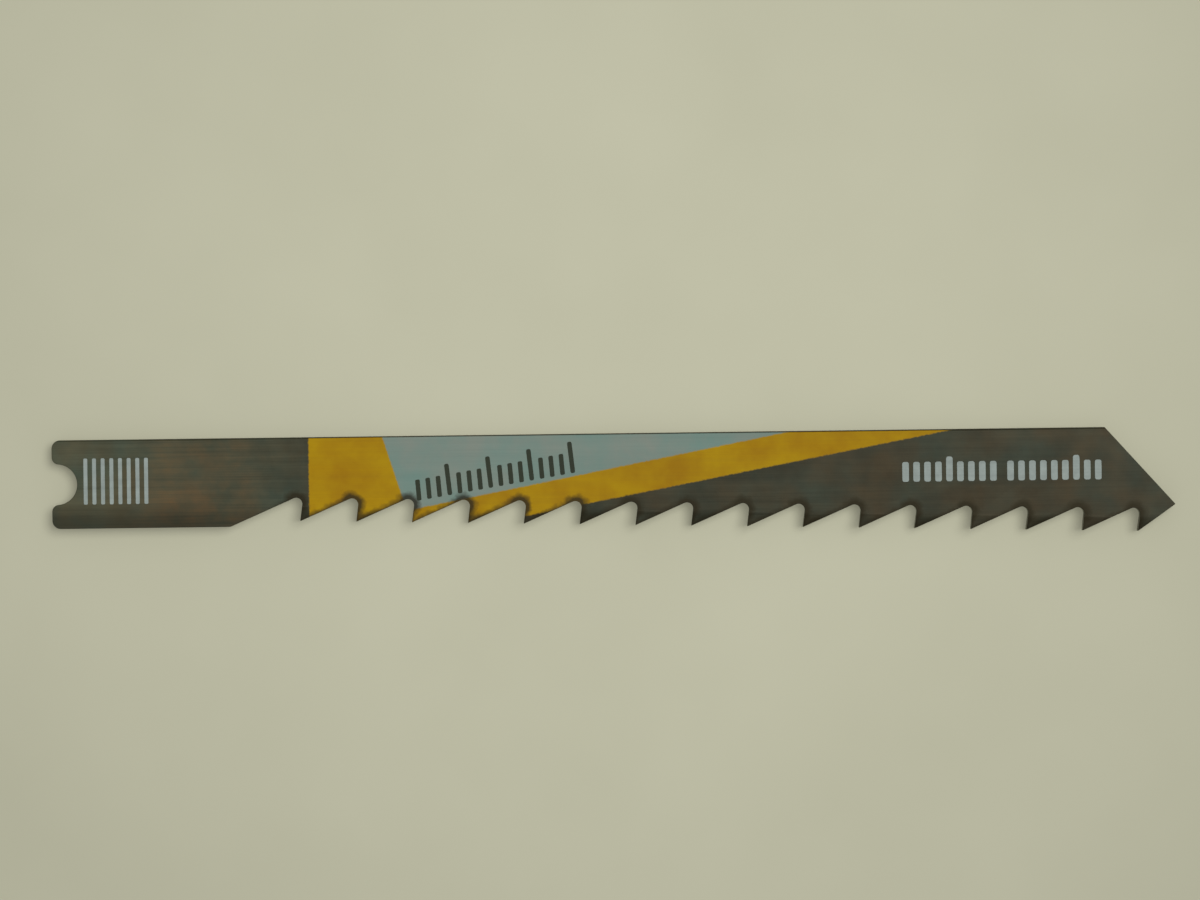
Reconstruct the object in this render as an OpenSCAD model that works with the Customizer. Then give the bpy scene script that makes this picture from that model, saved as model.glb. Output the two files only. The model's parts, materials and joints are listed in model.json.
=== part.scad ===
// Jigsaw blade with a quarter-inch shank, whose notch seats on the saw's clamp screw.
// It is one piece of hardened strip. The strip is sheared to a point, gullets are
// milled along a line that leans away from the back, and each tooth is then set to
// the side opposite its neighbours.
// The origin is the notch's centre, halfway through the strip. +X runs to the nose,
// +Y to the back edge, and +Z out of the printed face.

/* [Strip] */
// Thickness of the strip
thickness = 1.25; // [0.9:0.05:1.6]
// Radius on the two edges along the back
back_round = 0.2; // [0.05:0.05:0.35]

/* [Shank] */
// Width of the shank
shank_width = 6.35; // [6:0.05:8]
// Radius of the notch
notch_radius = 1.45; // [1:0.05:1.7]
// From the notch's centre to the end of the shank
notch_inset = 0.35; // [0.1:0.05:0.8]
// Radius on the lips of the notch
lip_radius = 0.5; // [0.3:0.05:0.6]
// Radius on the outer corners of the shank
corner_radius = 0.6; // [0.2:0.05:0.7]

/* [Teeth] */
// Number of teeth
tooth_count = 16; // [8:1:20]
// Distance from one point to the next
tooth_pitch = 4; // [3:0.1:5]
// From the notch's centre to the first point
first_point = 17.4; // [14:0.1:24]
// Width of the blade at the first point
first_width = 6; // [5.7:0.05:6.3]
// Angle at which the line of points leans away from the back
lean_angle = 1.42; // [0:0.01:2.5]
// Angle at which a tooth's front leans towards the shank
rake_angle = 6; // [0:0.5:12]
// Angle of a tooth's back to the line of points
relief_angle = 25; // [20:0.5:30]
// Radius at the bottom of a gullet
gullet_radius = 0.45; // [0.2:0.05:0.5]

/* [Set] */
// Angle through which a tooth is bent to its side
set_angle = 18; // [8:1:24]
// Radius inside the bend
bend_radius = 0.5; // [0.3:0.05:0.8]
// From the round of a gullet out to the line along which the teeth are bent
bend_margin = 0.05; // [0.02:0.01:0.15]

/* [Nose] */
// From the last point to the nose, along the blade
nose_reach = 2.7; // [1.6:0.1:3]
// Height of the nose above the bottom of the gullets
nose_lift = 0.25; // [0.1:0.05:0.8]
// Angle between the sloping end and the back
nose_angle = 48; // [40:1:70]

/* [Hidden] */
$fn = 96;

steel = [0.27, 0.25, 0.2];

// How far cutters run past what they cut
overrun = 2;
// How far the teeth's strip runs back into the flat strip
root_overlap = 0.25;
// Number of flats round the bend
bend_steps = 6;
// Depth of the strip's section, from the back to past the lowest point
section_depth = 2 * shank_width;

half_width = shank_width / 2;
half_thickness = thickness / 2;

// The lips' rounds touch the end of the shank and the notch
lip_x = lip_radius - notch_inset;
lip_y = sqrt(pow(notch_radius + lip_radius, 2) - pow(lip_x, 2));

// In a gullet the back of one tooth and the front of the next would meet at the
// corner, and the round touches both. Places are along and above the line of points.
corner_angle = 90 - rake_angle - relief_angle;
corner_height = tooth_pitch / (1 / tan(relief_angle) - tan(rake_angle));
corner = [tooth_pitch + corner_height * tan(rake_angle), corner_height];
back_way = [cos(relief_angle), sin(relief_angle)];
front_way = [sin(rake_angle), cos(rake_angle)];
touch_run = gullet_radius / tan(corner_angle / 2);
back_touch = corner - touch_run * back_way;
front_touch = corner - touch_run * front_way;
round_centre = back_touch + gullet_radius * [back_way[1], -back_way[0]];
gullet_height = round_centre[1] + gullet_radius;

// The line along which the teeth are bent, above the line of points
bend_height = front_touch[1] - bend_margin;
bend_front = bend_height * tan(rake_angle);
bend_back = bend_height / tan(relief_angle);
gap_margin = (tooth_pitch + bend_front - bend_back) / 4;
outer_bend = bend_radius + thickness;
bend_centre = bend_radius + half_thickness;

first_y = half_width - first_width;
last_run = (tooth_count - 1) * tooth_pitch;
last_x = first_point + last_run * cos(lean_angle);
last_y = first_y - last_run * sin(lean_angle);
nose_x = last_x + nose_reach;
nose_y = last_y + gullet_height + nose_lift;
nose_back = nose_x - (half_width - nose_y) / tan(nose_angle);

// Moves to the line of points, where X runs from point to point and Y into the strip
module on_points() {
    translate([first_point, first_y])
        rotate(-lean_angle)
            children();
}

// What rounding a square corner takes away. The corner is at the origin, and the
// strip lies towards +X and +Y.
module corner_waste(radius) {
    difference() {
        translate([-overrun, -overrun])
            square(overrun + radius);
        translate([radius, radius])
            circle(radius);
        translate([-overrun, radius])
            square([2 * overrun, overrun]);
        translate([radius, -overrun])
            square([overrun, 2 * overrun]);
    }
}

// The notch in the end of the shank, with the mouth between its rolled lips
module notch() {
    circle(notch_radius);
    difference() {
        polygon([
            [0, 0],
            [lip_x, lip_y],
            [-notch_inset - overrun, lip_y],
            [-notch_inset - overrun, -lip_y],
            [lip_x, -lip_y]
        ]);
        for (side = [-1, 1])
            translate([lip_x, side * lip_y])
                circle(lip_radius);
    }
}

// The gullet that follows the point at the origin
module gullet() {
    polygon([
        [-overrun / tan(relief_angle), -overrun],
        [tooth_pitch - overrun * tan(rake_angle), -overrun],
        front_touch,
        round_centre,
        back_touch
    ]);
    translate(round_centre)
        circle(gullet_radius);
}

// The blade seen from its printed face. The first gullet is milled in the shank's
// edge, one pitch before the first point.
module outline() {
    difference() {
        polygon([
            [-notch_inset, -half_width],
            [first_point - tooth_pitch, -half_width],
            [first_point, first_y],
            [last_x, last_y],
            [nose_x, nose_y],
            [nose_back, half_width],
            [-notch_inset, half_width]
        ]);
        notch();
        for (side = [-1, 1])
            scale([1, side])
                translate([-notch_inset, -half_width])
                    corner_waste(corner_radius);
        on_points()
            for (tooth = [-1 : tooth_count - 2])
                translate([tooth * tooth_pitch, 0])
                    gullet();
    }
}

// The strip seen along its length, with its back to the right
module flat_section() {
    difference() {
        translate([half_width - section_depth, -half_thickness])
            square([section_depth, thickness]);
        for (side = [-1, 1])
            scale([-1, side])
                translate([-half_width, -half_thickness])
                    corner_waste(back_round);
    }
}

// The strip as bent at a tooth, seen along its length, from the line of the bend
function arc_point(radius, angle) = [-radius * sin(angle), bend_centre - radius * cos(angle)];
function tangent_end(radius) = arc_point(radius, set_angle)
    - 2 * bend_height * [cos(set_angle), -sin(set_angle)];

module bent_section() {
    polygon([
        [root_overlap, -half_thickness],
        for (step = [0 : bend_steps])
            arc_point(outer_bend, set_angle * step / bend_steps),
        tangent_end(outer_bend),
        tangent_end(bend_radius),
        for (step = [bend_steps : -1 : 0])
            arc_point(bend_radius, set_angle * step / bend_steps),
        [root_overlap, half_thickness]
    ]);
}

// Extrudes a section along X, with its own X turned to Y and its own Y to Z
module along_strip(length) {
    rotate([90, 0, 90])
        linear_extrude(length)
            children();
}

// The strip, whose edge is bent up at the first tooth, down at the next, and so on
module set_strip() {
    difference() {
        translate([-notch_inset - overrun, 0, 0])
            along_strip(nose_x + notch_inset + 2 * overrun)
                flat_section();
        on_points()
            translate([bend_front - 2 * gap_margin, bend_height - section_depth, -thickness])
                cube([last_run + tooth_pitch + overrun, section_depth, 2 * thickness]);
    }
    on_points()
        for (tooth = [0 : tooth_count - 1])
            translate([tooth * tooth_pitch - gap_margin, bend_height, 0])
                scale([1, 1, tooth % 2 == 0 ? 1 : -1])
                    along_strip(bend_back + 2 * gap_margin)
                        bent_section();
}

module blade() {
    color(steel)
        intersection() {
            set_strip();
            linear_extrude(4 * thickness, center = true)
                outline();
        }
}

blade();
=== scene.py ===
import json
import math
import bmesh
import bpy
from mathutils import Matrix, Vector


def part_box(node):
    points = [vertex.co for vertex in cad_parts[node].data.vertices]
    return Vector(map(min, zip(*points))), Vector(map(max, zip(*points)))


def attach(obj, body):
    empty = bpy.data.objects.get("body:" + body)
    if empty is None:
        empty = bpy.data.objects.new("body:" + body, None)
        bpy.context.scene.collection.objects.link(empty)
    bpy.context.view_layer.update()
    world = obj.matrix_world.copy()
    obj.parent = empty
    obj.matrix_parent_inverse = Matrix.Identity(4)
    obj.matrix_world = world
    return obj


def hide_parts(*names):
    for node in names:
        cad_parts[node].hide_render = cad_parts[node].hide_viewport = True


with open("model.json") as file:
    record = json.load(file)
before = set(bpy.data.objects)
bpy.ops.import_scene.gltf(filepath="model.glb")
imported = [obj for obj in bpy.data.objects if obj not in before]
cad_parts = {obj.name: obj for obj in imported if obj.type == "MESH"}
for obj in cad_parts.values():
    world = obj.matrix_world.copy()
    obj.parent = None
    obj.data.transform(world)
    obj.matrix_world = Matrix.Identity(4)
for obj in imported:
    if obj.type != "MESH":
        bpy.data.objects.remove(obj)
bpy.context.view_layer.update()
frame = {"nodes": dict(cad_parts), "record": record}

# A jigsaw blade lying flat, seen from straight above its printed face.
# The frame's origin is the centre of the notch in the shank, +X runs to the nose
# and +Y to the back edge. Sizes below are in millimetres until they meet a mesh.

mm = 0.001
mounts = {mount["name"]: mount for mount in frame["record"]["mounts"]}
thickness = mounts["shank_notch"]["dims"]["length_mm"]
notchRadius = mounts["shank_notch"]["dims"]["r_mm"]
backY = mounts["back_edge"]["pos_m"][1] / mm
lowCorner, highCorner = [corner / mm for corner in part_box("blade")]
faceZ = thickness / 2
print("frame:", "strip", thickness, "mm thick,", round(highCorner.x - lowCorner.x, 2), "mm long")


# small helpers

def linearColour(red, green, blue):
    # the colour as it is read off a screen, 0 to 255, turned to scene values
    def channel(value):
        value /= 255
        return value / 12.92 if value <= 0.04045 else ((value + 0.055) / 1.055) ** 2.4
    return (channel(red), channel(green), channel(blue), 1.0)


def addNode(tree, kind, inputs=None, **settings):
    node = tree.nodes.new(kind)
    for name, value in settings.items():
        setattr(node, name, value)
    for key, value in (inputs or {}).items():
        if isinstance(value, bpy.types.NodeSocket):
            tree.links.new(value, node.inputs[key])
        else:
            node.inputs[key].default_value = value
    return node


def addMath(tree, operation, *values, clamp=False):
    return addNode(tree, "ShaderNodeMath", dict(enumerate(values)),
                   operation=operation, use_clamp=clamp).outputs[0]


def addVector(tree, operation, *values):
    return addNode(tree, "ShaderNodeVectorMath", dict(enumerate(values)),
                   operation=operation).outputs[0]


def scaleVector(tree, vector, factor):
    return addNode(tree, "ShaderNodeVectorMath", {0: vector, "Scale": factor},
                   operation="SCALE").outputs[0]


def splitVector(tree, vector):
    return addNode(tree, "ShaderNodeSeparateXYZ", {0: vector}).outputs


def buildVector(tree, **parts):
    return addNode(tree, "ShaderNodeCombineXYZ", parts).outputs[0]


def ramp(tree, amount, start, end, low=0.0, high=1.0):
    # a value that runs from low to high as the amount goes from start to end
    return addNode(tree, "ShaderNodeMapRange", {
        "Value": amount,
        "From Min": start,
        "From Max": end,
        "To Min": low,
        "To Max": high,
    }).outputs[0]


def newTree(name, kind, inputs, outputs):
    tree = bpy.data.node_groups.new(name, kind)
    for label, socketType in inputs.items():
        tree.interface.new_socket(label, in_out="INPUT", socket_type=socketType)
    for label, socketType in outputs.items():
        tree.interface.new_socket(label, in_out="OUTPUT", socket_type=socketType)
    return tree, tree.nodes.new("NodeGroupInput").outputs, tree.nodes.new("NodeGroupOutput")


def growPiece(name, source, tree, values, finishing=()):
    # runs a Geometry Nodes tree over the source mesh and keeps the result as a plain mesh
    carrier = bpy.data.objects.new(name + "Carrier", source)
    bpy.context.scene.collection.objects.link(carrier)
    modifier = carrier.modifiers.new(tree.name, "NODES")
    modifier.node_group = tree
    sockets = {item.name: item.identifier for item in tree.interface.items_tree if item.in_out == "INPUT"}
    for label, value in values.items():
        modifier[sockets[label]] = value
    for kind, settings in finishing:
        extra = carrier.modifiers.new(kind, kind)
        for key, value in settings.items():
            setattr(extra, key, value)
    evaluated = carrier.evaluated_get(bpy.context.evaluated_depsgraph_get())
    mesh = bpy.data.meshes.new_from_object(evaluated)
    mesh.name = name
    bpy.data.objects.remove(carrier)
    piece = bpy.data.objects.new(name, mesh)
    bpy.context.scene.collection.objects.link(piece)
    return piece


def checkClosed(piece):
    shape = bmesh.new()
    shape.from_mesh(piece.data)
    openEdges = sum(1 for edge in shape.edges if len(edge.link_faces) != 2)
    volume = shape.calc_volume(signed=True)
    print(piece.name + ":", len(shape.faces), "faces,", openEdges, "open edges,",
          round(volume / mm ** 3, 2), "cubic mm")
    shape.free()


# the toothed strip: the sheared blank is drawn here, and the tree mills and sets its teeth

blade = {
    "toothCount": 16,
    "pitch": 4.0,
    "firstPoint": (17.4, backY - 6.0),
    "lean": math.radians(1.42),
    "rake": math.radians(6),
    "relief": math.radians(25),
    "gulletRadius": 0.45,
    "setAngle": math.radians(18),
    "bendRadius": 0.5,
    "bendMargin": 0.05,
    "bendRows": 8,
    "noseLift": 0.25,
    "noseAngle": math.radians(48),
    "lipRadius": 0.5,
    "cornerRadius": 0.6,
    "cornerSteps": 10,
    "notchSteps": 18,
    "backRound": 0.2,
    "roundRows": 5,
    "edgeRound": 0.04,
    "sharpAngles": (math.radians(20), math.radians(50)),
    "arcPoints": 13,
    "weld": 0.002,
}


def toothPlaces():
    # places round one gullet, along and above the line of points
    relief, rake, radius = blade["relief"], blade["rake"], blade["gulletRadius"]
    cornerHeight = blade["pitch"] / (1 / math.tan(relief) - math.tan(rake))
    corner = Vector((blade["pitch"] + cornerHeight * math.tan(rake), cornerHeight))
    touchRun = radius / math.tan((math.pi / 2 - rake - relief) / 2)
    backTouch = corner - touchRun * Vector((math.cos(relief), math.sin(relief)))
    frontTouch = corner - touchRun * Vector((math.sin(rake), math.cos(rake)))
    centre = backTouch + radius * Vector((math.sin(relief), -math.cos(relief)))
    bendHeight = frontTouch.y - blade["bendMargin"]
    return {
        "gulletCentre": centre,
        "gulletHeight": centre.y + radius,
        "bendHeight": bendHeight,
        "frontRoot": Vector((bendHeight * math.tan(rake), bendHeight)),
        "backRoot": Vector((bendHeight / math.tan(relief), bendHeight)),
    }


def fromPoints(along, above):
    # from the line of points to the frame
    cosine, sine = math.cos(blade["lean"]), math.sin(blade["lean"])
    away = Vector((along * cosine + above * sine, above * cosine - along * sine))
    return Vector(blade["firstPoint"]) + away


def arcRound(centre, radius, start, end, steps):
    angles = [math.radians(start + (end - start) * step / steps) for step in range(steps + 1)]
    return [Vector(centre) + radius * Vector((math.cos(angle), math.sin(angle))) for angle in angles]


def blankOutline(places):
    # two chains of places: from the last tooth's back round the nose, and round the shank
    # to the first gullet. The side between them lies where the rounds along the back begin,
    # and the tree closes it.
    endX = lowCorner.x
    corner, lip = blade["cornerRadius"], blade["lipRadius"]
    lipX = lip + endX
    lipY = math.sqrt((notchRadius + lip) ** 2 - lipX ** 2)
    lipTurn = math.degrees(math.atan2(lipY, lipX))
    shankHalf = arcRound((endX + corner, backY - corner), corner, 90, 180, blade["cornerSteps"])
    shankHalf += arcRound((lipX, lipY), lip, 180, 180 + lipTurn, blade["cornerSteps"])
    shankHalf += arcRound((0, 0), notchRadius, lipTurn, 0, blade["notchSteps"])[1:]
    roundStart = backY - blade["backRound"]
    meetX = endX + corner - math.sqrt(corner ** 2 - (corner - blade["backRound"]) ** 2)
    upperHalf = [Vector((meetX, roundStart))]
    upperHalf += [place for place in shankHalf if place.x <= meetX - 0.01 or place.y < roundStart - 0.02]
    lowerHalf = [Vector((place.x, -place.y)) for place in reversed(shankHalf[:-1])]
    lastPoint = fromPoints((blade["toothCount"] - 1) * blade["pitch"], 0)
    nose = Vector((highCorner.x, lastPoint.y + places["gulletHeight"] + blade["noseLift"]))
    noseBackX = nose.x - (backY - nose.y) / math.tan(blade["noseAngle"])
    noseMeet = Vector((noseBackX + blade["backRound"] / math.tan(blade["noseAngle"]), roundStart))
    # the nose's lower side meets the last point, and its root is where that tooth's bend ends
    flank = (nose - lastPoint).normalized()
    upWay = Vector((math.sin(blade["lean"]), math.cos(blade["lean"])))
    lastRoot = flank * (places["bendHeight"] / flank.dot(upWay))
    # the first gullet is milled one pitch before the first point, and runs out of the shank's edge
    milledFrom = fromPoints(-blade["pitch"], 0)
    rampAngle = blade["relief"] - blade["lean"]
    wayOut = Vector((math.cos(rampAngle), math.sin(rampAngle)))
    rampStart = milledFrom + wayOut * ((-backY - milledFrom.y) / wayOut.y)
    rampEnd = fromPoints(places["backRoot"].x - blade["pitch"], places["backRoot"].y)
    noseChain = [lastPoint + lastRoot, nose, noseMeet]
    shankChain = upperHalf + lowerHalf + [rampStart, rampEnd]
    lastBackRoot = Vector((lastRoot.dot(Vector((upWay.y, -upWay.x))), places["bendHeight"]))
    return noseChain, shankChain, lastBackRoot, noseBackX


def toothSheetTree():
    # one flat tooth, its point at the origin, with rows of edges where it will be bent
    tree, given, result = newTree("toothSheet", "GeometryNodeTree", {
        "Front Root": "NodeSocketVector",
        "Back Root": "NodeSocketVector",
        "Bend Run": "NodeSocketFloat",
        "Rows": "NodeSocketInt",
    }, {"Geometry": "NodeSocketGeometry"})
    lastRow = addMath(tree, "ADD", given["Rows"], 1)
    grid = addNode(tree, "GeometryNodeMeshGrid", {
        "Size X": 1.0,
        "Size Y": 1.0,
        "Vertices X": 2,
        "Vertices Y": addMath(tree, "ADD", lastRow, 1),
    })
    gridX, gridY = splitVector(tree, tree.nodes.new("GeometryNodeInputPosition").outputs[0])[:2]
    across = addMath(tree, "ADD", gridX, 0.5)
    step = addMath(tree, "MULTIPLY", addMath(tree, "ADD", gridY, 0.5), lastRow)
    rowsLeft = addMath(tree, "SUBTRACT", lastRow, addMath(tree, "ROUND", step))
    height = splitVector(tree, given["Front Root"])["Y"]
    bendLeft = addMath(tree, "MULTIPLY", given["Bend Run"], rowsLeft)
    curved = addMath(tree, "DIVIDE", bendLeft, given["Rows"])
    share = addMath(tree, "DIVIDE", curved, height)
    atPoint = addMath(tree, "LESS_THAN", step, 0.5)
    keep = addMath(tree, "SUBTRACT", 1, addMath(tree, "MAXIMUM", share, atPoint))
    rootSpan = {"Factor": across, 4: given["Front Root"], 5: given["Back Root"]}
    root = addNode(tree, "ShaderNodeMix", rootSpan, data_type="VECTOR").outputs[1]
    moved = scaleVector(tree, root, keep)
    sheet = addNode(tree, "GeometryNodeSetPosition",
                    {"Geometry": grid.outputs["Mesh"], "Position": moved})
    tree.links.new(sheet.outputs[0], result.inputs[0])
    return tree


def edgeLine(tree, start, end):
    line = addNode(tree, "GeometryNodeCurvePrimitiveLine", {"Start": start, "End": end})
    return addNode(tree, "GeometryNodeCurveToMesh", {"Curve": line.outputs[0]}).outputs[0]


def joined(tree, *parts):
    join = tree.nodes.new("GeometryNodeJoinGeometry")
    for part in parts:
        tree.links.new(part, join.inputs[0])
    return join.outputs[0]


def thickened(tree, sheet, offset, weld):
    # a closed shell: the flat sheet raised by the offset, and turned over as its own underside
    raised = addNode(tree, "GeometryNodeExtrudeMesh", {
        "Mesh": sheet,
        "Offset": offset,
        "Offset Scale": 1.0,
        "Individual": False,
    })
    underside = addNode(tree, "GeometryNodeFlipFaces", {"Mesh": sheet})
    shell = joined(tree, raised.outputs["Mesh"], underside.outputs[0])
    return addNode(tree, "GeometryNodeMergeByDistance",
                   {"Geometry": shell, "Distance": weld * mm}).outputs[0]


def endTree(tree, geometry, material, result):
    # the export drops instances, so a tree ends in a real mesh with its material
    real = addNode(tree, "GeometryNodeRealizeInstances", {0: geometry})
    finished = addNode(tree, "GeometryNodeSetMaterial",
                       {"Geometry": real.outputs[0], "Material": material})
    tree.links.new(finished.outputs[0], result.inputs[0])
    return tree


def bladeTree():
    tree, given, result = newTree("millAndSet", "GeometryNodeTree", {
        "Geometry": "NodeSocketGeometry",
        "Tooth Count": "NodeSocketInt",
        "Pitch": "NodeSocketFloat",
        "Gullet Centre": "NodeSocketVector",
        "Gullet Radius": "NodeSocketFloat",
        "Gullet Start": "NodeSocketFloat",
        "Gullet Turn": "NodeSocketFloat",
        "Arc Points": "NodeSocketInt",
        "Front Root": "NodeSocketVector",
        "Back Root": "NodeSocketVector",
        "Last Back Root": "NodeSocketVector",
        "First Point": "NodeSocketVector",
        "Lean": "NodeSocketFloat",
        "Thickness": "NodeSocketFloat",
        "Back Y": "NodeSocketFloat",
        "Back Round": "NodeSocketFloat",
        "Round Rows": "NodeSocketInt",
        "Shank End X": "NodeSocketFloat",
        "Corner Radius": "NodeSocketFloat",
        "Nose Back X": "NodeSocketFloat",
        "Nose Angle": "NodeSocketFloat",
        "Set Angle": "NodeSocketFloat",
        "Bend Radius": "NodeSocketFloat",
        "Bend Rows": "NodeSocketInt",
        "Material": "NodeSocketMaterial",
    }, {"Geometry": "NodeSocketGeometry"})
    onePitch = buildVector(tree, X=given["Pitch"])
    lastTooth = addMath(tree, "SUBTRACT", given["Tooth Count"], 1)
    lastPlace = scaleVector(tree, onePitch, lastTooth)

    # the edge of one gullet, from the back of one tooth to the front of the next
    arc = addNode(tree, "GeometryNodeCurveArc", {
        "Resolution": given["Arc Points"],
        "Radius": given["Gullet Radius"],
        "Start Angle": given["Gullet Start"],
        "Sweep Angle": given["Gullet Turn"],
    }, mode="RADIUS")
    arcMesh = addNode(tree, "GeometryNodeCurveToMesh", {"Curve": arc.outputs["Curve"]})
    arcPlaced = addNode(tree, "GeometryNodeTransform",
                        {"Geometry": arcMesh.outputs[0], "Translation": given["Gullet Centre"]})

    def onArc(angle):
        sideways = addMath(tree, "MULTIPLY", addMath(tree, "COSINE", angle), given["Gullet Radius"])
        upwards = addMath(tree, "MULTIPLY", addMath(tree, "SINE", angle), given["Gullet Radius"])
        arm = buildVector(tree, X=sideways, Y=upwards)
        return addVector(tree, "ADD", given["Gullet Centre"], arm)

    arcEnd = addMath(tree, "ADD", given["Gullet Start"], given["Gullet Turn"])
    backFlank = edgeLine(tree, given["Back Root"], onArc(arcEnd))
    nextFrontRoot = addVector(tree, "ADD", given["Front Root"], onePitch)
    frontFlank = edgeLine(tree, onArc(given["Gullet Start"]), nextFrontRoot)
    gulletEdge = joined(tree, arcPlaced.outputs[0], backFlank, frontFlank)
    gulletFrom = scaleVector(tree, onePitch, -1.0)
    gulletRow = addNode(tree, "GeometryNodeMeshLine",
                        {"Count": given["Tooth Count"], "Start Location": gulletFrom, "Offset": onePitch})
    gullets = addNode(tree, "GeometryNodeInstanceOnPoints",
                      {"Points": gulletRow.outputs[0], "Instance": gulletEdge})

    # a root edge closes the outline across each tooth, so that the flat strip can be filled
    toothRow = addNode(tree, "GeometryNodeMeshLine", {"Count": lastTooth, "Offset": onePitch})
    rootEdge = edgeLine(tree, given["Front Root"], given["Back Root"])
    roots = addNode(tree, "GeometryNodeInstanceOnPoints",
                    {"Points": toothRow.outputs[0], "Instance": rootEdge})
    lastRoot = edgeLine(tree, addVector(tree, "ADD", given["Front Root"], lastPlace),
                        addVector(tree, "ADD", given["Last Back Root"], lastPlace))
    leanBack = buildVector(tree, Z=addMath(tree, "MULTIPLY", given["Lean"], -1))

    def onLine(*parts):
        # realizes what stands along the line of points, and leans it into the frame
        real = addNode(tree, "GeometryNodeRealizeInstances", {0: joined(tree, *parts)})
        return addNode(tree, "GeometryNodeTransform", {
            "Geometry": real.outputs[0],
            "Rotation": leanBack,
            "Translation": given["First Point"],
        }).outputs[0]

    # the band along the back, with rows of edges where its two long edges are rounded
    band = addNode(tree, "GeometryNodeMeshGrid", {
        "Size X": 1.0,
        "Size Y": 1.0,
        "Vertices X": 2,
        "Vertices Y": addMath(tree, "ADD", given["Round Rows"], 1),
    })

    def legBeside(longSide, otherLeg):
        # a leg of a right-angled triangle
        squares = [addMath(tree, "POWER", length, 2) for length in (longSide, otherLeg)]
        return addMath(tree, "SQRT", addMath(tree, "MAXIMUM", addMath(tree, "SUBTRACT", *squares), 0))

    def rowBelowBack(below, share):
        # a place on the row this far below the back, from the shank's corner to the sloping end
        cornerRise = addMath(tree, "SUBTRACT", given["Corner Radius"], below)
        cornerReach = legBeside(given["Corner Radius"], cornerRise)
        cornerX = addMath(tree, "ADD", given["Shank End X"], given["Corner Radius"])
        shankX = addMath(tree, "SUBTRACT", cornerX, cornerReach)
        slopeRun = addMath(tree, "DIVIDE", below, addMath(tree, "TANGENT", given["Nose Angle"]))
        noseX = addMath(tree, "ADD", given["Nose Back X"], slopeRun)
        onward = addMath(tree, "MULTIPLY", share, addMath(tree, "SUBTRACT", noseX, shankX))
        rowX = addMath(tree, "ADD", shankX, onward)
        rowY = addMath(tree, "SUBTRACT", given["Back Y"], below)
        return buildVector(tree, X=rowX, Y=rowY)

    here = tree.nodes.new("GeometryNodeInputPosition").outputs[0]
    bandX, bandY = splitVector(tree, here)[:2]
    turned = addMath(tree, "MULTIPLY", addMath(tree, "ADD", bandY, 0.5), math.pi / 2)
    sineLeft = addMath(tree, "SUBTRACT", 1, addMath(tree, "SINE", turned))
    bandDepth = addMath(tree, "MULTIPLY", given["Back Round"], sineLeft)
    bandPlace = rowBelowBack(bandDepth, addMath(tree, "ADD", bandX, 0.5))
    bandSheet = addNode(tree, "GeometryNodeSetPosition",
                        {"Geometry": band.outputs["Mesh"], "Position": bandPlace}).outputs[0]
    closingEdge = edgeLine(tree, rowBelowBack(given["Back Round"], 0.0),
                           rowBelowBack(given["Back Round"], 1.0))

    # the whole outline as one closed curve, filled
    milledEdges = onLine(gullets.outputs[0], roots.outputs[0], lastRoot)
    edges = joined(tree, given["Geometry"], closingEdge, milledEdges)
    weld = blade["weld"]
    loop = addNode(tree, "GeometryNodeMergeByDistance", {"Geometry": edges, "Distance": weld * mm})
    loopCurve = addNode(tree, "GeometryNodeMeshToCurve", {"Mesh": loop.outputs[0]})
    strip = addNode(tree, "GeometryNodeFillCurve", {"Curve": loopCurve.outputs[0]}, mode="NGONS")

    # the teeth, still flat, joined to the strip along their roots
    outerRadius = addMath(tree, "ADD", given["Bend Radius"], given["Thickness"])
    bendRun = addMath(tree, "MULTIPLY", outerRadius, addMath(tree, "SINE", given["Set Angle"]))
    toothSheet = toothSheetTree()
    tooth = addNode(tree, "GeometryNodeGroup", node_tree=toothSheet)
    lastSheet = addNode(tree, "GeometryNodeGroup", node_tree=toothSheet)
    for sheet, backRoot in ((tooth, "Back Root"), (lastSheet, "Last Back Root")):
        tree.links.new(given["Front Root"], sheet.inputs["Front Root"])
        tree.links.new(given[backRoot], sheet.inputs["Back Root"])
        tree.links.new(bendRun, sheet.inputs["Bend Run"])
        tree.links.new(given["Bend Rows"], sheet.inputs["Rows"])
    teeth = addNode(tree, "GeometryNodeInstanceOnPoints",
                    {"Points": toothRow.outputs[0], "Instance": tooth.outputs[0]})
    lastPlaced = addNode(tree, "GeometryNodeTransform",
                         {"Geometry": lastSheet.outputs[0], "Translation": lastPlace})
    sheets = joined(tree, strip.outputs[0], bandSheet, onLine(teeth.outputs[0], lastPlaced.outputs[0]))
    sheet = addNode(tree, "GeometryNodeMergeByDistance", {"Geometry": sheets, "Distance": weld * mm})

    # the thickness
    halfThickness = addMath(tree, "MULTIPLY", given["Thickness"], 0.5)
    halfDown = buildVector(tree, Z=addMath(tree, "MULTIPLY", halfThickness, -1))
    fullUp = buildVector(tree, Z=given["Thickness"])
    lowSheet = addNode(tree, "GeometryNodeTransform",
                       {"Geometry": sheet.outputs[0], "Translation": halfDown})
    solid = thickened(tree, lowSheet.outputs[0], fullUp, weld)

    # the two long edges along the back, rounded
    frameY, height = splitVector(tree, here)[1:]
    roundFrom = addMath(tree, "SUBTRACT", given["Back Y"], given["Back Round"])
    intoRound = addMath(tree, "MAXIMUM", addMath(tree, "SUBTRACT", frameY, roundFrom), 0)
    sunk = addMath(tree, "SUBTRACT", given["Back Round"], legBeside(given["Back Round"], intoRound))
    inward = addMath(tree, "MULTIPLY", addMath(tree, "SIGN", height), -1)
    sunkLift = addMath(tree, "MULTIPLY", inward, sunk)

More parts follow.
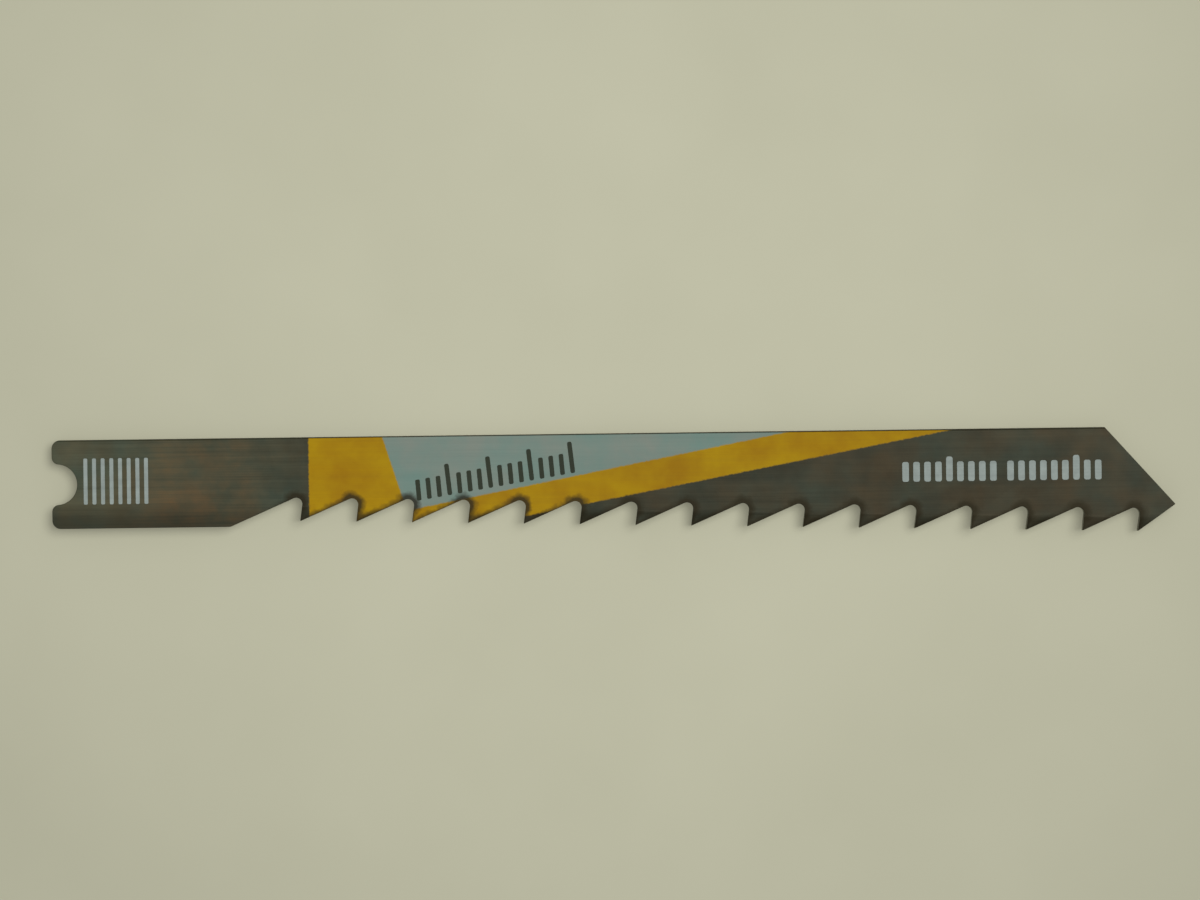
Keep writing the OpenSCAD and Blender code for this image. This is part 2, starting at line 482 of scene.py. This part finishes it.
    # the set: past the bend line a tooth leaves the strip's plane, the first one up and the next down
    fromPoint = addVector(tree, "SUBTRACT", here, given["First Point"])
    turnedBack = addNode(tree, "ShaderNodeVectorRotate", {"Vector": fromPoint, "Angle": given["Lean"]},
                         rotation_type="Z_AXIS")
    along, above = splitVector(tree, turnedBack.outputs[0])[:2]
    pitchesAlong = addMath(tree, "DIVIDE", along, given["Pitch"])
    toothIndex = addMath(tree, "FLOOR", addMath(tree, "ADD", pitchesAlong, 0.1))
    isOdd = addMath(tree, "FLOORED_MODULO", toothIndex, 2)
    side = addMath(tree, "SUBTRACT", 1, addMath(tree, "MULTIPLY", isOdd, 2))
    rootHeight = splitVector(tree, given["Front Root"])["Y"]
    pastBend = addMath(tree, "MAXIMUM", addMath(tree, "SUBTRACT", rootHeight, above), 0)
    run = addMath(tree, "MULTIPLY", pastBend, addMath(tree, "GREATER_THAN", toothIndex, -0.5))
    bendCentre = addMath(tree, "ADD", given["Bend Radius"], halfThickness)
    radius = addMath(tree, "SUBTRACT", bendCentre, addMath(tree, "MULTIPLY", side, height))
    fullCurve = addMath(tree, "MULTIPLY", radius, addMath(tree, "SINE", given["Set Angle"]))
    curvedRun = addMath(tree, "MINIMUM", run, fullCurve)
    curveRise = addMath(tree, "SUBTRACT", bendCentre, legBeside(radius, curvedRun))
    straightRun = addMath(tree, "SUBTRACT", run, curvedRun)
    straightRise = addMath(tree, "MULTIPLY", straightRun, addMath(tree, "TANGENT", given["Set Angle"]))
    risen = addMath(tree, "ADD", curveRise, straightRise)
    setLift = addMath(tree, "SUBTRACT", addMath(tree, "MULTIPLY", side, risen), height)
    lift = buildVector(tree, Z=addMath(tree, "ADD", setLift, sunkLift))
    formed = addNode(tree, "GeometryNodeSetPosition", {"Geometry": solid, "Offset": lift})

    # a weight on each sharp edge for the bevel that follows, which fades where an edge does
    edgeAngle = tree.nodes.new("GeometryNodeInputMeshEdgeAngle").outputs["Unsigned Angle"]
    weight = ramp(tree, edgeAngle, *blade["sharpAngles"])
    weighted = addNode(tree, "GeometryNodeStoreNamedAttribute",
                       {"Geometry": formed.outputs[0], "Name": "bevel_weight_edge", "Value": weight},
                       data_type="FLOAT", domain="EDGE")
    smooth = addNode(tree, "GeometryNodeSetShadeSmooth", {"Geometry": weighted.outputs[0]})
    return endTree(tree, smooth.outputs[0], given["Material"], result)


def makeBlade(finish):
    places = toothPlaces()
    noseChain, shankChain, lastBackRoot, noseBackX = blankOutline(places)
    outline = noseChain + shankChain
    edges = [(i, i + 1) for i in range(len(outline) - 1) if i + 1 != len(noseChain)]
    blank = bpy.data.meshes.new("blankOutline")
    blank.from_pydata([(place.x * mm, place.y * mm, 0) for place in outline], edges, [])
    print("blank:", len(outline), "places round the nose and the shank,",
          blade["toothCount"], "teeth to mill")

    def inMetres(place):
        return (place[0] * mm, place[1] * mm, 0.0)

    piece = growPiece("toothedStrip", blank, bladeTree(), {
        "Tooth Count": blade["toothCount"],
        "Pitch": blade["pitch"] * mm,
        "Gullet Centre": inMetres(places["gulletCentre"]),
        "Gullet Radius": blade["gulletRadius"] * mm,
        "Gullet Start": -blade["rake"],
        "Gullet Turn": math.pi / 2 + blade["rake"] + blade["relief"],
        "Arc Points": blade["arcPoints"],
        "Front Root": inMetres(places["frontRoot"]),
        "Back Root": inMetres(places["backRoot"]),
        "Last Back Root": inMetres(lastBackRoot),
        "First Point": inMetres(blade["firstPoint"]),
        "Lean": blade["lean"],
        "Thickness": thickness * mm,
        "Back Y": backY * mm,
        "Back Round": blade["backRound"] * mm,
        "Round Rows": blade["roundRows"],
        "Shank End X": lowCorner.x * mm,
        "Corner Radius": blade["cornerRadius"] * mm,
        "Nose Back X": noseBackX * mm,
        "Nose Angle": blade["noseAngle"],
        "Set Angle": blade["setAngle"],
        "Bend Radius": blade["bendRadius"] * mm,
        "Bend Rows": blade["bendRows"],
        "Material": finish,
    }, [("BEVEL", {
        "width": blade["edgeRound"] * mm,
        "segments": 2,
        "limit_method": "WEIGHT",
        "use_clamp_overlap": False,
        "harden_normals": True,
    })])
    checkClosed(piece)
    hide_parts("blade")
    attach(piece, "root")
    return piece


# effects that several finishes share. Each one takes its place in millimetres.

def millimetrePlace(tree):
    place = tree.nodes.new("ShaderNodeTexCoord").outputs["Object"]
    return scaleVector(tree, place, 1 / mm)


def addNoise(tree, place, scale, detail, roughness=0.5):
    return addNode(tree, "ShaderNodeTexNoise", {
        "Vector": place,
        "Scale": scale,
        "Detail": detail,
        "Roughness": roughness,
    }).outputs[0]


def rollingLinesGroup():
    # long faint lines along the strip, as rolling and grinding leave them
    tree, given, result = newTree("rollingLines", "ShaderNodeTree", {
        "Place": "NodeSocketVector",
        "Lines Per Millimetre": "NodeSocketFloat",
    }, {"Lines": "NodeSocketFloat"})
    dense = given["Lines Per Millimetre"]
    stretched = addVector(tree, "MULTIPLY", given["Place"], buildVector(tree, X=0.07, Y=dense, Z=dense))
    coarse = addNoise(tree, stretched, scale=0.45, detail=2.0)
    fine = addNoise(tree, stretched, scale=2.1, detail=4.0)
    mixed = addMath(tree, "MULTIPLY", addMath(tree, "ADD", coarse, fine), 0.5)
    spread = ramp(tree, mixed, 0.3, 0.7)
    tree.links.new(spread, result.inputs[0])
    return tree


def mottleGroup():
    # soft uneven patches
    tree, given, result = newTree("mottle", "ShaderNodeTree", {
        "Place": "NodeSocketVector",
        "Patch Size": "NodeSocketFloat",
    }, {"Patches": "NodeSocketFloat"})
    scaled = scaleVector(tree, given["Place"], addMath(tree, "DIVIDE", 1, given["Patch Size"]))
    noise = addNoise(tree, scaled, scale=1.0, detail=3.0, roughness=0.55)
    spread = ramp(tree, noise, 0.3, 0.7)
    tree.links.new(spread, result.inputs[0])
    return tree


def between(tree, amount, low, high):
    return ramp(tree, amount, 0.0, 1.0, low, high)


def mixColours(tree, factor, first, second):
    return addNode(tree, "ShaderNodeMix", {"Factor": factor, 6: first, 7: second},
                   data_type="RGBA").outputs[2]


def useGroup(tree, group, **inputs):
    node = addNode(tree, "ShaderNodeGroup", node_tree=group)
    for name, value in inputs.items():
        label = {"place": "Place", "lines": "Lines Per Millimetre", "patch": "Patch Size"}[name]
        if isinstance(value, bpy.types.NodeSocket):
            tree.links.new(value, node.inputs[label])
        else:
            node.inputs[label].default_value = value
    return node.outputs[0]


# finish of the strip: dark tempered steel, with the printed fields on the upper face

stripFinish = {
    "noseSteel": (50, 49, 39),
    "shankSteel": (64, 67, 55),
    "steelTurns": (22.0, 10.0),
    "linesPerMillimetre": 4.0,
    "lineShade": (0.76, 1.24),
    "patchSize": 2.4,
    "patchShade": (0.84, 1.16),
    "temperSize": 3.2,
    "warmTint": (1.16, 0.96, 0.84),
    "coolTint": (0.84, 1.03, 1.12),
    "stain": (80, 62, 40),
    "stainStart": (4.5, 7.5),
    "stainEnd": (16.5, 12.5),
    "shadedEdgeBand": (1.9, 0.6),
    "paintedEdgeShade": 0.55,
    "milledSteel": (98, 95, 80),
    "cutLinesPerMillimetre": 6.0,
    "edgeDarkRim": (36, 32, 20),
    "darkRimStart": (-2.4, -1.0),
    "darkRimPatch": 0.6,
    "darkRimWidth": 0.34,
    "roundDarkRimWidth": 0.6,
    "yellow": (163, 129, 4),
    "deepYellow": (148, 109, 4),
    "blueGrey": (107, 131, 122),
    "coolGrey": (122, 131, 121),
    "printFrom": 18.05,
    "bandEnd": ((23.32, 3.175), (24.90, -1.745)),
    "stripeTop": ((31.73, -0.875), (51.78, 2.995)),
    "stripeFoot": ((38.89, -1.655), (58.94, 2.145)),
    "inkEdge": 0.05,
    "fray": 0.03,
    "frayPatch": 0.22,
    "lowTipDrop": (0.12, 0.01),
    "inkOnLowTips": 0.35,
}


def printedStrip(rollingLines, mottle):
    material = bpy.data.materials.new("printedStrip")
    material.use_nodes = True
    tree = material.node_tree
    shader = tree.nodes["Principled BSDF"]
    finish = stripFinish
    place = millimetrePlace(tree)
    x, y, z = splitVector(tree, place)
    normalZ = splitVector(tree, tree.nodes.new("ShaderNodeTexCoord").outputs["Normal"])["Z"]
    upFace = ramp(tree, normalZ, 0.75, 0.9)
    flatness = addMath(tree, "ABSOLUTE", normalZ)
    milledFace = ramp(tree, flatness, 0.6, 0.2)
    lines = useGroup(tree, rollingLines, place=place, lines=finish["linesPerMillimetre"])
    patches = useGroup(tree, mottle, place=place, patch=finish["patchSize"])
    ragged = useGroup(tree, mottle, place=place, patch=finish["frayPatch"])
    fray = between(tree, ragged, -finish["fray"], finish["fray"])
    inkEdge = finish["inkEdge"]

    def paint(name):
        return linearColour(*finish[name])

    def pastLine(start, end):
        # 1 to the left of the way from start to end, 0 to its right, with the slight fray of ink
        way = (Vector(end) - Vector(start)).normalized()
        leftWay = (-way.y, way.x, 0.0)
        distance = addNode(tree, "ShaderNodeVectorMath", {
            0: addVector(tree, "SUBTRACT", place, (start[0], start[1], 0.0)),
            1: leftWay,
        }, operation="DOT_PRODUCT").outputs["Value"]
        return ramp(tree, addMath(tree, "ADD", distance, fray), -inkEdge, inkEdge)

    # how near a place is to a milled edge, from its place along and above the line of points
    places = toothPlaces()
    firstX, firstY = blade["firstPoint"]
    fromPoint = addVector(tree, "SUBTRACT", place, (firstX, firstY, 0.0))
    turned = addNode(tree, "ShaderNodeVectorRotate", {"Vector": fromPoint, "Angle": blade["lean"]},
                     rotation_type="Z_AXIS")
    along, above = splitVector(tree, turned.outputs[0])[:2]
    inPitch = addMath(tree, "FLOORED_MODULO", along, blade["pitch"])

    def flankDistance(angle, side):
        alongPart = addMath(tree, "MULTIPLY", inPitch, side * math.sin(angle))
        abovePart = addMath(tree, "MULTIPLY", above, side * math.cos(angle))
        return addMath(tree, "SUBTRACT", abovePart, alongPart)

    backDistance = flankDistance(blade["relief"], 1)
    frontDistance = flankDistance(math.pi / 2 - blade["rake"], -1)
    centreX, centreY = places["gulletCentre"]
    offX = addMath(tree, "SUBTRACT", inPitch, centreX)
    wrappedX = addMath(tree, "WRAP", offX, blade["pitch"] / 2, -blade["pitch"] / 2)
    offY = addMath(tree, "SUBTRACT", above, centreY)
    fromCentre = buildVector(tree, X=wrappedX, Y=offY)
    reach = addNode(tree, "ShaderNodeVectorMath", {0: fromCentre}, operation="LENGTH").outputs["Value"]
    roundDistance = addMath(tree, "SUBTRACT", reach, blade["gulletRadius"])
    flankNearest = addMath(tree, "MAXIMUM", addMath(tree, "MINIMUM", backDistance, frontDistance), 0)
    nearest = addMath(tree, "MINIMUM", roundDistance, flankNearest)
    # above the gullets only the round counts
    highUp = addMath(tree, "GREATER_THAN", above, places["gulletHeight"])
    fromEdge = addNode(tree, "ShaderNodeMix", {0: highUp, 2: nearest, 3: roundDistance}).outputs[0]
    # the upper face is painted darker in rims along the milled edges of the teeth
    alongTeeth = ramp(tree, along, *finish["darkRimStart"])
    uneven = useGroup(tree, mottle, place=place, patch=finish["darkRimPatch"])
    darkRimReach = between(tree, uneven, 0.5 * finish["darkRimWidth"], 1.5 * finish["darkRimWidth"])
    faded = addMath(tree, "DIVIDE", addMath(tree, "MAXIMUM", fromEdge, 0), darkRimReach)
    edgeDarkRim = addMath(tree, "SUBTRACT", 1, faded, clamp=True)
    # it reaches furthest round the bottom of a gullet
    roundReach = between(tree, uneven, 0.7 * finish["roundDarkRimWidth"], 1.3 * finish["roundDarkRimWidth"])
    roundFaded = addMath(tree, "DIVIDE", addMath(tree, "MAXIMUM", roundDistance, 0), roundReach)
    roundDarkRim = addMath(tree, "MULTIPLY", addMath(tree, "SUBTRACT", 1, roundFaded), 1.5, clamp=True)
    darkRim = addMath(tree, "MULTIPLY", alongTeeth, addMath(tree, "MAXIMUM", edgeDarkRim, roundDarkRim))

    # steel
    towardsShank = ramp(tree, x, *finish["steelTurns"])
    steel = mixColours(tree, towardsShank, paint("noseSteel"), paint("shankSteel"))
    stainSpan = addMath(tree, "MULTIPLY", ramp(tree, x, *finish["stainStart"]),
                        ramp(tree, x, *finish["stainEnd"]))
    stainPatches = addMath(tree, "MULTIPLY", patches, between(tree, lines, 0.35, 1.0))
    steel = mixColours(tree, addMath(tree, "MULTIPLY", stainSpan, stainPatches), steel, paint("stain"))
    # tempering leaves faint warm and cool patches
    tempered = useGroup(tree, mottle, place=place, patch=finish["temperSize"])
    tint = mixColours(tree, tempered, (*finish["coolTint"], 1.0), (*finish["warmTint"], 1.0))
    steel = addVector(tree, "MULTIPLY", steel, tint)
    shade = addMath(tree, "MULTIPLY", between(tree, lines, *finish["lineShade"]),
                    between(tree, patches, *finish["patchShade"]))
    # painted shade: the shank's upper face is painted darker towards its lower edge
    bandFrom, bandTo = [above - backY for above in finish["shadedEdgeBand"]]
    nearShadedEdge = ramp(tree, y, bandFrom, bandTo)
    paintedShadeOnShank = addMath(tree, "MULTIPLY", nearShadedEdge, towardsShank)
    shade = addMath(tree, "MULTIPLY", shade, between(tree, paintedShadeOnShank, 1.0, finish["paintedEdgeShade"]))
    steel = scaleVector(tree, steel, shade)
    # cutters and shears leave lines across the thickness
    sideways = buildVector(tree, X=z, Y=x, Z=y)
    cutLines = useGroup(tree, rollingLines, place=sideways, lines=finish["cutLinesPerMillimetre"])
    milled = scaleVector(tree, paint("milledSteel")[:3], between(tree, cutLines, 0.75, 1.25))
    steel = mixColours(tree, milledFace, steel, milled)

    # ink
    yellow = mixColours(tree, patches, paint("yellow"), paint("deepYellow"))
    grey = mixColours(tree, patches, paint("blueGrey"), paint("coolGrey"))
    isGrey = addMath(tree, "MULTIPLY", pastLine(*finish["bandEnd"]), pastLine(*finish["stripeTop"]))
    ink = mixColours(tree, isGrey, yellow, grey)
    ink = scaleVector(tree, ink, between(tree, lines, 0.94, 1.05))
    printFrom = finish["printFrom"]
    printStart = ramp(tree, addMath(tree, "ADD", x, fray), printFrom - inkEdge, printFrom + inkEdge)
    # the printing roller hardly reaches the tips that are set down
    tipFrom, tipTo = [faceZ - drop for drop in finish["lowTipDrop"]]
    reached = ramp(tree, z, tipFrom, tipTo, low=finish["inkOnLowTips"])
    inField = addMath(tree, "MULTIPLY", printStart, pastLine(*finish["stripeFoot"]))
    printed = addMath(tree, "MULTIPLY", addMath(tree, "MULTIPLY", upFace, reached), inField)
    colour = mixColours(tree, printed, steel, ink)
    # darker rims along the milled edges, on the upper face only
    darkRimShare = addMath(tree, "MULTIPLY", addMath(tree, "MULTIPLY", darkRim, upFace), 0.9)
    colour = mixColours(tree, darkRimShare, colour, paint("edgeDarkRim"))
    tree.links.new(colour, shader.inputs["Base Color"])
    bare = addMath(tree, "SUBTRACT", 1, printed)
    tree.links.new(addMath(tree, "MULTIPLY", bare, 0.45), shader.inputs["Metallic"])
    dullness = addMath(tree, "MULTIPLY", printed, 0.12)
    roughness = addMath(tree, "ADD", between(tree, lines, 0.4, 0.5), dullness)
    tree.links.new(roughness, shader.inputs["Roughness"])
    shader.inputs["Specular IOR Level"].default_value = 0.08
    rolled = addMath(tree, "ADD", lines, addMath(tree, "MULTIPLY", ragged, 0.3))
    rolledPart = addMath(tree, "MULTIPLY", rolled, addMath(tree, "SUBTRACT", 1, milledFace))
    relief = addMath(tree, "ADD", rolledPart, addMath(tree, "MULTIPLY", cutLines, milledFace))
    bump = addNode(tree, "ShaderNodeBump", {"Strength": 0.5, "Distance": 0.006 * mm, "Height": relief})
    tree.links.new(bump.outputs[0], shader.inputs["Normal"])
    return material


# the printed marks: rows of plain bars, where such a blade has its sizes and its maker's words

inks = {
    "lightInk": (143, 153, 148),
    "darkInk": (44, 50, 38),
    "thickness": 0.012,
    "sunk": 0.004,
    "weld": 0.0005,
}

markRows = [
    {
        "name": "shankBars",
        "ink": "lightInk",
        "start": (2.06, -1.45),
        "way": 0.0,
        "count": 8,
        "pitch": 0.62,
        "width": 0.28,
        "height": 3.3,
        "slant": 0.0,
        "tallFrom": 0,
        "tallEvery": 1,
        "tallScale": 1.0,
        "gapAfter": 8,
        "gap": 0.0,
    },
    {
        "name": "fieldBars",
        "ink": "darkInk",
        "start": (26.0, -1.45),
        "way": math.radians(9.4),
        "count": 16,
        "pitch": 0.745,
        "width": 0.33,
        "height": 1.5,
        "slant": 0.12,
        "tallFrom": 3,
        "tallEvery": 4,
        "tallScale": 1.5,
        "gapAfter": 16,
        "gap": 0.0,
    },
    {
        "name": "noseBars",
        "ink": "lightInk",
        "start": (60.78, -0.57),
        "way": 0.0,
        "count": 18,
        "pitch": 0.785,
        "width": 0.47,
        "height": 1.42,
        "slant": 0.0,
        "tallFrom": 4,
        "tallEvery": 11,
        "tallScale": 1.25,
        "gapAfter": 9,
        "gap": 0.45,
    },
]


def inkFinish(name, rollingLines, mottle):
    material = bpy.data.materials.new(name)
    material.use_nodes = True
    tree = material.node_tree
    shader = tree.nodes["Principled BSDF"]
    place = millimetrePlace(tree)
    lines = useGroup(tree, rollingLines, place=place, lines=4.0)
    patches = useGroup(tree, mottle, place=place, patch=0.6)
    shade = addMath(tree, "MULTIPLY", between(tree, lines, 0.9, 1.08), between(tree, patches, 0.86, 1.06))
    full = addNode(tree, "ShaderNodeRGB")
    full.outputs[0].default_value = linearColour(*inks[name])
    colour = scaleVector(tree, full.outputs[0], shade)
    tree.links.new(colour, shader.inputs["Base Color"])
    tree.links.new(between(tree, patches, 0.5, 0.62), shader.inputs["Roughness"])
    shader.inputs["Specular IOR Level"].default_value = 0.12
    return material


def markRowTree():
    tree, given, result = newTree("markRow", "GeometryNodeTree", {
        "Count": "NodeSocketInt",
        "Pitch": "NodeSocketFloat",
        "Bar Width": "NodeSocketFloat",
        "Bar Height": "NodeSocketFloat",
        "Slant": "NodeSocketFloat",
        "Tall From": "NodeSocketInt",
        "Tall Every": "NodeSocketInt",
        "Tall Scale": "NodeSocketFloat",
        "Gap After": "NodeSocketInt",
        "Gap": "NodeSocketFloat",
        "Thickness": "NodeSocketFloat",
        "Start": "NodeSocketVector",
        "Way": "NodeSocketFloat",
        "Material": "NodeSocketMaterial",
    }, {"Geometry": "NodeSocketGeometry"})
    frameCurve = addNode(tree, "GeometryNodeCurvePrimitiveQuadrilateral", {
        "Width": given["Bar Width"],
        "Height": given["Bar Height"],
        "Offset": given["Slant"],
    }, mode="PARALLELOGRAM")
    rounded = addNode(tree, "GeometryNodeFilletCurve", {
        "Curve": frameCurve.outputs[0],
        "Count": 3,
        "Radius": addMath(tree, "MULTIPLY", given["Bar Width"], 0.3),
        "Limit Radius": True,
    }, mode="POLY")
    sheet = addNode(tree, "GeometryNodeFillCurve", {"Curve": rounded.outputs[0]}, mode="NGONS")
    bar = thickened(tree, sheet.outputs[0], buildVector(tree, Z=given["Thickness"]), inks["weld"])
    halfHeight = addMath(tree, "MULTIPLY", given["Bar Height"], 0.5)
    standing = addNode(tree, "GeometryNodeTransform", {
        "Geometry": bar,
        "Translation": buildVector(tree, Y=halfHeight),
    })
    step = buildVector(tree, X=given["Pitch"])
    row = addNode(tree, "GeometryNodeMeshLine", {"Count": given["Count"], "Offset": step})
    index = tree.nodes.new("GeometryNodeInputIndex").outputs[0]
    afterGap = addMath(tree, "GREATER_THAN", index, addMath(tree, "SUBTRACT", given["Gap After"], 0.5))
    apart = buildVector(tree, X=addMath(tree, "MULTIPLY", afterGap, given["Gap"]))
    spaced = addNode(tree, "GeometryNodeSetPosition", {"Geometry": row.outputs[0], "Offset": apart})
    sinceTall = addMath(tree, "SUBTRACT", index, given["Tall From"])
    inTurn = addMath(tree, "FLOORED_MODULO", sinceTall, given["Tall Every"])
    isTall = addMath(tree, "LESS_THAN", inTurn, 0.5)
    extra = addMath(tree, "SUBTRACT", given["Tall Scale"], 1)
    tallness = addMath(tree, "ADD", 1, addMath(tree, "MULTIPLY", isTall, extra))
    stretch = buildVector(tree, X=1.0, Y=tallness, Z=1.0)
    bars = addNode(tree, "GeometryNodeInstanceOnPoints",
                   {"Points": spaced.outputs[0], "Instance": standing.outputs[0], "Scale": stretch})
    turned = addNode(tree, "GeometryNodeTransform", {
        "Geometry": bars.outputs[0],
        "Rotation": buildVector(tree, Z=given["Way"]),
        "Translation": given["Start"],
    })
    return endTree(tree, turned.outputs[0], given["Material"], result)


def makeMarks(rollingLines, mottle):
    tree = markRowTree()
    finishes = {name: inkFinish(name, rollingLines, mottle) for name in ("lightInk", "darkInk")}
    for row in markRows:
        startX, startY = row["start"]
        piece = growPiece(row["name"], bpy.data.meshes.new(row["name"] + "Start"), tree, {
            "Count": row["count"],
            "Pitch": row["pitch"] * mm,
            "Bar Width": row["width"] * mm,
            "Bar Height": row["height"] * mm,
            "Slant": row["slant"] * mm,
            "Tall From": row["tallFrom"],
            "Tall Every": row["tallEvery"],
            "Tall Scale": row["tallScale"],
            "Gap After": row["gapAfter"],
            "Gap": row["gap"] * mm,
            "Thickness": (inks["thickness"] + inks["sunk"]) * mm,
            "Start": (startX * mm, startY * mm, (faceZ - inks["sunk"]) * mm),
            "Way": row["way"],
            "Material": finishes[row["ink"]],
        })
        checkClosed(piece)
        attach(piece, "root")


# the floor, the light and the camera

stageSizes = {
    "floorColour": (192, 191, 167),
    "floorTint": 2,
    "floorPatch": 18.0,
    "lightPoolCentre": (42.5, 16.3),
    "lightPoolReach": 43.0,
    "lightPoolFall": 0.08,
    "skyShare": 0.4,
    "floorGlow": 0.35,
    "sunTilt": math.radians(21),
    "sunSoftness": math.radians(32),
    "sunWay": (0.85, 0.5),
    "viewWidth": 85.92,
    "viewCentre": (38.92, 1.99),
    "viewTurn": math.radians(0.736),
    "cameraHeight": 500.0,
    "sensorWidth": 36.0,
}


def seenDirectly(tree):
    # 1 for what the camera sees, also in metal and glass, and 0 for what lights the blade
    path = tree.nodes.new("ShaderNodeLightPath")
    direct = addMath(tree, "MAXIMUM", path.outputs["Is Camera Ray"], path.outputs["Is Glossy Ray"])
    return addMath(tree, "MAXIMUM", direct, path.outputs["Is Transmission Ray"])


def makeFloor(mottle):
    # the blade rests on its lower back edge and one tooth that is set down, so the floor leans a little
    edgeHeight = -faceZ
    steepest = 0.0
    for vertex in frame["nodes"]["blade"].data.vertices:
        place = vertex.co / mm
        if place.z < edgeHeight - 0.001:
            steepest = max(steepest, (edgeHeight - place.z) / (backY - place.y))
    half = 600.0
    corners = [(-half, -half), (half, -half), (half, half), (-half, half)]
    mesh = bpy.data.meshes.new("floor")
    places = [(x * mm, y * mm, (edgeHeight - (backY - y) * steepest) * mm) for x, y in corners]
    mesh.from_pydata(places, [], [(0, 1, 2, 3)])
    floor = bpy.data.objects.new("floor", mesh)
    bpy.context.scene.collection.objects.link(floor)
    material = bpy.data.materials.new("paleFloor")
    material.use_nodes = True
    tree = material.node_tree
    shader = tree.nodes["Principled BSDF"]
    place = millimetrePlace(tree)
    cloud = useGroup(tree, mottle, place=place, patch=stageSizes["floorPatch"])
    darker, paler = [linearColour(*[part + step for part in stageSizes["floorColour"]])
                     for step in (-stageSizes["floorTint"], stageSizes["floorTint"])]
    tint = mixColours(tree, cloud, darker, paler)
    # a painted pool of light: the floor is palest in a wide pool, and falls off a little round it
    distance = addNode(tree, "ShaderNodeVectorMath", {0: place, 1: (*stageSizes["lightPoolCentre"], 0.0)},
                       operation="DISTANCE").outputs["Value"]
    share = addMath(tree, "POWER", addMath(tree, "DIVIDE", distance, stageSizes["lightPoolReach"]), 2)
    fall = addMath(tree, "MULTIPLY", share, stageSizes["lightPoolFall"])
    paintedLight = addMath(tree, "SUBTRACT", 1, addMath(tree, "MINIMUM", fall, 2 * stageSizes["lightPoolFall"]))
    tint = scaleVector(tree, tint, paintedLight)
    tree.links.new(tint, shader.inputs["Base Color"])
    shader.inputs["Roughness"].default_value = 0.85
    shader.inputs["Specular IOR Level"].default_value = 0.1
    # part of the floor's colour shows as it is written, so that shadows on it stay faint
    glow = addNode(tree, "ShaderNodeEmission", {"Color": tint})
    glowShare = addMath(tree, "MULTIPLY", seenDirectly(tree), stageSizes["floorGlow"])
    blend = addNode(tree, "ShaderNodeMixShader", {0: glowShare, 1: shader.outputs[0], 2: glow.outputs[0]})
    tree.links.new(blend.outputs[0], tree.nodes["Material Output"].inputs["Surface"])
    mesh.materials.append(material)
    print("floor: leans", round(math.degrees(math.atan(steepest)), 2), "degrees to meet the blade")


def makeLight():
    scene = bpy.context.scene
    world = bpy.data.worlds.new("softSky")
    scene.world = world
    world.use_nodes = True
    tree = world.node_tree
    background = tree.nodes["Background"]
    share = stageSizes["skyShare"]
    colour = mixColours(tree, seenDirectly(tree), (share, share, share, 1.0),
                        linearColour(*stageSizes["floorColour"]))
    tree.links.new(colour, background.inputs["Color"])
    background.inputs["Strength"].default_value = 1.0
    lamp = bpy.data.lights.new("softWindow", "SUN")
    lamp.energy = (1 - share) * math.pi / math.cos(stageSizes["sunTilt"])
    lamp.angle = stageSizes["sunSoftness"]
    window = bpy.data.objects.new("softWindow", lamp)
    scene.collection.objects.link(window)
    direction = Vector((*stageSizes["sunWay"], 0)).normalized() * math.sin(stageSizes["sunTilt"])
    direction.z = math.cos(stageSizes["sunTilt"])
    window.rotation_euler = direction.to_track_quat("Z", "Y").to_euler()
    scene.view_settings.view_transform = "Standard"
    tilt = round(math.degrees(stageSizes["sunTilt"]))
    print("light: a soft sky and one soft window, tilted", tilt, "degrees")


def makeCamera():
    lens = bpy.data.cameras.new("camera")
    lens.sensor_width = stageSizes["sensorWidth"]
    lens.lens = stageSizes["sensorWidth"] * stageSizes["cameraHeight"] / stageSizes["viewWidth"]
    lens.clip_start = 0.01
    camera = bpy.data.objects.new("camera", lens)
    bpy.context.scene.collection.objects.link(camera)
    x, y = stageSizes["viewCentre"]
    camera.location = (x * mm, y * mm, (stageSizes["cameraHeight"] + faceZ) * mm)
    camera.rotation_euler = (0, 0, -stageSizes["viewTurn"])
    bpy.context.scene.camera = camera
    print("camera:", stageSizes["cameraHeight"], "mm above the blade,", round(lens.lens), "mm lens")


rollingLines, mottle = rollingLinesGroup(), mottleGroup()
makeCamera()
makeLight()
makeFloor(mottle)
makeBlade(printedStrip(rollingLines, mottle))
makeMarks(rollingLines, mottle)
